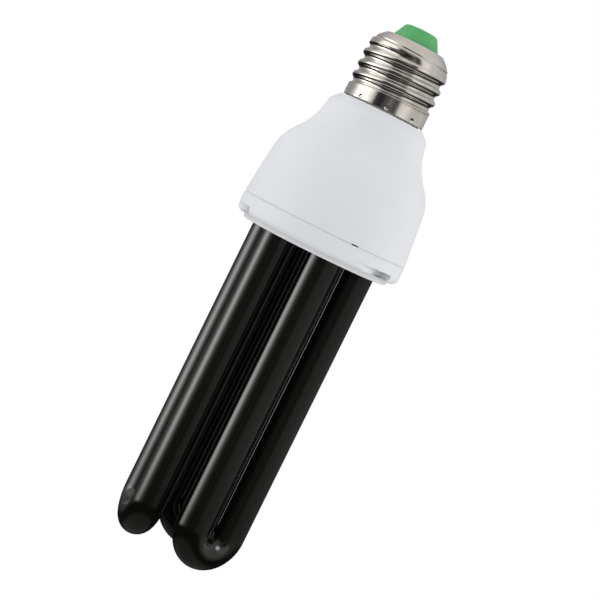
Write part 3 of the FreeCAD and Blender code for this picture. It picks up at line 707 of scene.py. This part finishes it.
class Shader:
    """Small helper that adds nodes to a material's or the world's tree."""

    # Places of the colour sockets on a Mix node, which has a set of sockets for each type
    MIX_COLOURS = (6, 7)
    MIX_RESULT = 2

    def __init__(self, owner):
        owner.use_nodes = True
        self.nodes = owner.node_tree.nodes
        self.links = owner.node_tree.links
        self.nodes.clear()

    def add(self, kind, inputs=(), **settings):
        """Node with its settings, whose inputs are linked or set by name or number."""
        node = self.nodes.new(kind)
        for key, value in settings.items():
            setattr(node, key, value)
        for name, value in dict(inputs).items():
            if isinstance(value, bpy.types.NodeSocket):
                self.links.new(value, node.inputs[name])
            else:
                node.inputs[name].default_value = value
        return node

    def math(self, operation, a, b):
        """Result of a sum on two values."""
        return self.add("ShaderNodeMath", {0: a, 1: b}, operation=operation).outputs[0]

    def ramp(self, value, low, high, to_low=0.0, to_high=1.0):
        """Value eased from one range into another."""
        node = self.add("ShaderNodeMapRange", {
            "Value": value, "From Min": low, "From Max": high,
            "To Min": to_low, "To Max": to_high}, interpolation_type="SMOOTHSTEP")
        return node.outputs[0]

    def noise(self, scale, detail=3.0, stretch=(1, 1, 1)):
        """Noise in the lamp's own space; scale is in features per metre."""
        place = self.add("ShaderNodeTexCoord").outputs["Object"]
        place = self.add("ShaderNodeMapping", {"Vector": place, "Scale": stretch}).outputs[0]
        return self.add("ShaderNodeTexNoise", {
            "Vector": place, "Scale": scale, "Detail": detail}).outputs["Fac"]

    def blend(self, share, one, other):
        """Colour between two plain ones."""
        node = self.add("ShaderNodeMix", {"Factor": share}, data_type="RGBA")
        node.inputs["A"].default_value = (*one, 1)
        node.inputs["B"].default_value = (*other, 1)
        return node.outputs["Result"]

    def grey(self, strength):
        """Warm white of a strength, as a share of the brightest one in the room."""
        return tuple(part * strength / BRIGHTEST for part in WARM_WHITE) + (1.0,)

    def stops(self, value, strengths):
        """Strength round the room, from (azimuth, strength) pairs."""
        node = self.add("ShaderNodeValToRGB", {"Fac": value})
        elements = node.color_ramp.elements
        while len(elements) < len(strengths):
            elements.new(0.5)
        for element, (azimuth, _) in zip(elements, strengths):
            element.position = azimuth / 360 + 0.5
        for element, (_, strength) in zip(elements, strengths):
            element.color = self.grey(strength)
        return node.outputs["Color"]

    def mix(self, share, one, other):
        """Blend of two colours, of which each may come from another node."""
        node = self.add("ShaderNodeMix", {"Factor": share}, data_type="RGBA")
        for slot, value in zip(self.MIX_COLOURS, (one, other)):
            if isinstance(value, bpy.types.NodeSocket):
                self.links.new(value, node.inputs[slot])
            else:
                node.inputs[slot].default_value = value
        return node.outputs[self.MIX_RESULT]

    def bump(self, height, distance):
        """Normal of a surface whose relief is a share of a distance in millimetres."""
        return self.add("ShaderNodeBump", {
            "Height": height, "Distance": distance * MM, "Strength": 1.0}).outputs[0]

    def surface(self, **inputs):
        """Principled surface as the tree's output."""
        names = {key.replace("_", " "): value for key, value in inputs.items()}
        shader = self.add("ShaderNodeBsdfPrincipled", names)
        self.add("ShaderNodeOutputMaterial", {"Surface": shader.outputs[0]})


def nickel_plate():
    """Warm bright nickel, with faint rolling lines and a little uneven polish."""
    material = bpy.data.materials.new("nickel_plate")
    s = Shader(material)
    cloud = s.noise(260.0, 4.0)
    lines = s.noise(900.0, 3.0, (1, 1, 6))
    colour = s.blend(s.ramp(cloud, 0.35, 0.7), (0.63, 0.60, 0.56), (0.71, 0.685, 0.65))
    rough = s.ramp(cloud, 0.3, 0.75, 0.03, 0.075)
    s.surface(Base_Color=colour, Metallic=1.0, Roughness=rough, Normal=s.bump(lines, 0.012))
    return material


def white_plastic():
    """Cool white moulded housing plastic with a fine satin skin."""
    material = bpy.data.materials.new("white_plastic")
    s = Shader(material)
    cloud = s.noise(55.0, 3.0)
    grain = s.noise(2600.0, 2.0)
    colour = s.blend(s.ramp(cloud, 0.3, 0.7), (0.700, 0.712, 0.738), (0.722, 0.733, 0.757))
    rough = s.ramp(cloud, 0.3, 0.7, 0.54, 0.62)
    s.surface(
        Base_Color=colour, Roughness=rough, Subsurface_Weight=0.08, Specular_IOR_Level=0.35,
        Subsurface_Radius=(0.002, 0.002, 0.002), Normal=s.bump(grain, 0.006))
    return material


def green_plastic():
    """Green insulator plastic, slightly mottled."""
    material = bpy.data.materials.new("green_plastic")
    s = Shader(material)
    cloud = s.noise(320.0, 3.0)
    grain = s.noise(2200.0, 2.0)
    colour = s.blend(s.ramp(cloud, 0.3, 0.7), (0.078, 0.368, 0.118), (0.098, 0.408, 0.142))
    rough = s.ramp(cloud, 0.3, 0.7, 0.42, 0.52)
    s.surface(
        Base_Color=colour, Roughness=rough, Specular_IOR_Level=0.35, Normal=s.bump(grain, 0.01))
    return material


def black_glass():
    """Deep black filter glass with a fire-polished, faintly wavy surface."""
    material = bpy.data.materials.new("black_glass")
    s = Shader(material)
    wave = s.noise(70.0, 2.0, (1, 1, 0.35))
    colour = s.blend(wave, (0.0022, 0.0022, 0.0018), (0.0034, 0.0034, 0.0026))
    rough = s.ramp(wave, 0.3, 0.7, 0.045, 0.085)
    s.surface(
        Base_Color=colour, Roughness=rough, IOR=1.52, Specular_IOR_Level=0.5,
        Normal=s.bump(wave, 0.05))
    return material


def plain_material(name, dark, light, roughness, scale, bump, metallic=0.0, stretch=(1, 1, 1)):
    """Mottled material for a piece inside the housing."""
    material = bpy.data.materials.new(name)
    s = Shader(material)
    cloud = s.noise(scale, 4.0, stretch)
    rough = s.ramp(cloud, 0.3, 0.7, roughness - 0.05, roughness + 0.05)
    s.surface(
        Base_Color=s.blend(cloud, dark, light), Metallic=metallic, Roughness=rough,
        Normal=s.bump(cloud, bump))
    return material


def inner_materials():
    """Finishes of what the housing hides, by node."""
    cement = plain_material("cement", (0.70, 0.69, 0.63), (0.84, 0.83, 0.78), 0.85, 700.0, 0.08)
    board = plain_material(
        "board_laminate", (0.38, 0.21, 0.07), (0.50, 0.31, 0.13), 0.6, 900.0, 0.02)
    sleeve = plain_material(
        "capacitor_sleeve", (0.01, 0.01, 0.02), (0.03, 0.03, 0.05), 0.3, 200.0, 0.01)
    ferrite = plain_material(
        "ferrite", (0.035, 0.035, 0.038), (0.08, 0.08, 0.08), 0.55, 1500.0, 0.03)
    bobbin = plain_material(
        "bobbin_plastic", (0.03, 0.03, 0.03), (0.06, 0.06, 0.06), 0.5, 600.0, 0.01)
    copper = plain_material(
        "enamelled_copper", (0.42, 0.13, 0.03), (0.80, 0.34, 0.12), 0.25, 500.0, 0.15, 1.0,
        (0.1, 0.1, 8))
    film = plain_material("film_coating", (0.40, 0.08, 0.03), (0.56, 0.15, 0.07), 0.3, 300.0, 0.03)
    case = plain_material("black_case", (0.02, 0.02, 0.02), (0.04, 0.04, 0.04), 0.5, 1800.0, 0.01)
    coating = plain_material(
        "resistor_coating", (0.55, 0.41, 0.24), (0.68, 0.54, 0.36), 0.4, 500.0, 0.02)
    woven = plain_material("lead_sleeve", (0.70, 0.70, 0.67), (0.86, 0.86, 0.84), 0.8, 2500.0, 0.05)
    tinned = plain_material(
        "bare_wire", (0.48, 0.45, 0.41), (0.64, 0.61, 0.57), 0.3, 900.0, 0.01, 1.0)
    return {
        "tube_cement": cement, "circuit_board": board, "reservoir_capacitor": sleeve,
        "transformer_core": ferrite, "choke_core": ferrite, "transformer_bobbin": bobbin,
        "transformer_winding": copper, "choke_winding": copper, "film_capacitor": film,
        "input_diode": case, "transistor_front": case, "transistor_right": case,
        "bias_resistors": coating, "contact_lead": woven, "shell_lead": tinned,
        "filament_wires": tinned}


def dress():
    """Makes the visible pieces, gives each its material and puts it in its solid's place."""
    white = white_plastic()
    nickel = nickel_plate()
    outside = (
        (screw_shell(), "screw_shell", nickel, "nickel_plate"),
        (contact_insulator(), "contact_insulator", green_plastic(), "green_plastic"),
        (centre_contact(), "centre_contact", nickel, "nickel_plate"),
        (upper_housing(), "upper_housing", white, "white_plastic"),
        (tube_holder(), "tube_holder", white, "white_plastic"),
        (discharge_tube(), "discharge_tube", black_glass(), "black_glass"))
    for piece, solid, material, slot in outside:
        piece.data.materials.clear()
        piece.data.materials.append(material)
        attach(piece, "root")
        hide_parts(solid)
    for solid, material in inner_materials().items():
        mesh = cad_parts[solid].data
        mesh.materials.clear()
        mesh.materials.append(material)


def studio_world():
    """White for the camera, even light for soft surfaces, and a studio for gloss to mirror."""
    world = bpy.data.worlds.new("studio")
    bpy.context.scene.world = world
    s = Shader(world)
    direction = s.add("ShaderNodeTexCoord").outputs["Generated"]
    parts = s.add("ShaderNodeSeparateXYZ", {"Vector": direction})
    x, y, z = (parts.outputs[axis] for axis in "XYZ")
    azimuth = s.math("ARCTAN2", x, s.math("MULTIPLY", y, -1.0))
    round_share = s.math("ADD", s.math("DIVIDE", azimuth, 2 * math.pi), 0.5)
    low = s.stops(round_share, LOW_ROOM)
    high = s.stops(round_share, HIGH_ROOM)
    room = s.mix(s.ramp(z, *HORIZON_BAND), low, high)
    room = s.mix(s.ramp(z, *UNDER_BAND), room, s.grey(UNDER))
    room = s.mix(s.ramp(z, *GROUND_BAND), room, s.grey(GROUND))
    room = s.mix(s.ramp(z, *CEILING_BAND), room, s.grey(CEILING))
    paths = s.add("ShaderNodeLightPath")
    gloss = s.add("ShaderNodeBackground", {"Color": room, "Strength": BRIGHTEST})
    soft = s.add("ShaderNodeBackground", {"Color": (1, 1, 1, 1), "Strength": SOFT_LEVEL})
    white = s.add("ShaderNodeBackground", {"Color": (1, 1, 1, 1), "Strength": 1.0})
    mixed = s.add("ShaderNodeMixShader", {
        0: paths.outputs["Is Glossy Ray"], 1: soft.outputs[0], 2: gloss.outputs[0]})
    seen = s.math("MAXIMUM", paths.outputs["Is Camera Ray"], paths.outputs["Is Transmission Ray"])
    mixed = s.add("ShaderNodeMixShader", {0: seen, 1: mixed.outputs[0], 2: white.outputs[0]})
    s.add("ShaderNodeOutputWorld", {"Surface": mixed.outputs[0]})


def area_light(name, power):
    """Lamp of a power, still without a place."""
    data = bpy.data.lights.new(name, "AREA")
    data.energy = power
    lamp = bpy.data.objects.new(name, data)
    bpy.context.scene.collection.objects.link(lamp)
    return lamp


def aim(lamp, direction):
    """Turns a lamp so that it shines in a direction."""
    lamp.rotation_mode = "QUATERNION"
    lamp.rotation_quaternion = direction.to_track_quat("-Z", "Y")


def soft_lamp(name, azimuth, distance, height, size, power):
    """Soft lamp that aims at the housing and shows in no reflection."""
    lamp = area_light(name, power)
    lamp.data.shape = "RECTANGLE"
    lamp.data.size = size[0] * MM
    lamp.data.size_y = size[1] * MM
    lamp.location = at_azimuth(azimuth, distance, height)
    aim(lamp, Vector(LAMP_TARGET) * MM - lamp.location)
    lamp.visible_glossy = False


def glint_disc(name, distance, size, power):
    """Small lamp in front of the tube ends, whose narrow beam only reaches their bends."""
    lamp = area_light(name, power)
    lamp.data.shape = "DISK"
    lamp.data.size = size * MM
    lamp.data.spread = math.radians(GLINT_SPREAD)
    way = Vector(GLINT_DIRECTION).normalized()
    lamp.location = (Vector(GLINT_TARGET) + way * distance) * MM
    aim(lamp, -way)


def studio_floor():
    """White floor well below the hanging lamp, which fades into the background."""
    bm = bmesh.new()
    bmesh.ops.create_circle(bm, cap_ends=True, segments=FLOOR_SEGMENTS, radius=FLOOR_R * MM)
    bmesh.ops.translate(bm, vec=(0, 0, FLOOR_Z * MM), verts=bm.verts)
    floor = new_piece("floor", bm)
    material = bpy.data.materials.new("floor_white")
    s = Shader(material)
    paper = s.blend(s.noise(30.0), (0.80, 0.80, 0.80), (0.82, 0.82, 0.82))
    matt = s.add("ShaderNodeBsdfDiffuse", {"Color": paper})
    seen = s.add("ShaderNodeLightPath").outputs["Is Camera Ray"]
    glow = s.add("ShaderNodeEmission", {
        "Color": (1, 1, 1, 1), "Strength": s.math("MULTIPLY", seen, FLOOR_GLOW)})
    both = s.add("ShaderNodeAddShader", {0: matt.outputs[0], 1: glow.outputs[0]})
    s.add("ShaderNodeOutputMaterial", {"Surface": both.outputs[0]})
    floor.data.materials.append(material)
    floor.visible_glossy = False


def photo_camera():
    """Camera at the photograph's angle, rolled so that the lamp's base leans to the right."""
    tilt = math.radians(CAMERA_TILT)
    lean = math.radians(LAMP_LEAN)
    level = Vector((1, 0, 0))
    upright = Vector((0, math.sin(tilt), math.cos(tilt)))
    back = Vector((0, -math.cos(tilt), math.sin(tilt)))
    right = level * math.cos(lean) + upright * math.sin(lean)
    up = upright * math.cos(lean) - level * math.sin(lean)
    data = bpy.data.cameras.new("photo_camera")
    data.sensor_width = SENSOR_WIDTH
    data.lens = data.sensor_width * FOCAL_PIXELS / IMAGE_PIXELS
    data.clip_start = 0.01
    data.clip_end = 20.0
    camera = bpy.data.objects.new("photo_camera", data)
    bpy.context.scene.collection.objects.link(camera)
    place = (Vector(AIM) + back * CAMERA_DISTANCE) * MM
    turn = Matrix((right, up, back)).transposed().to_4x4()
    camera.matrix_world = Matrix.Translation(place) @ turn
    bpy.context.scene.camera = camera


dress()
studio_world()
studio_floor()
for lamp_facts in SOFT_LAMPS:
    soft_lamp(*lamp_facts)
for disc_facts in GLINT_DISCS:
    glint_disc(*disc_facts)
photo_camera()
bpy.context.scene.view_settings.view_transform = "Standard"
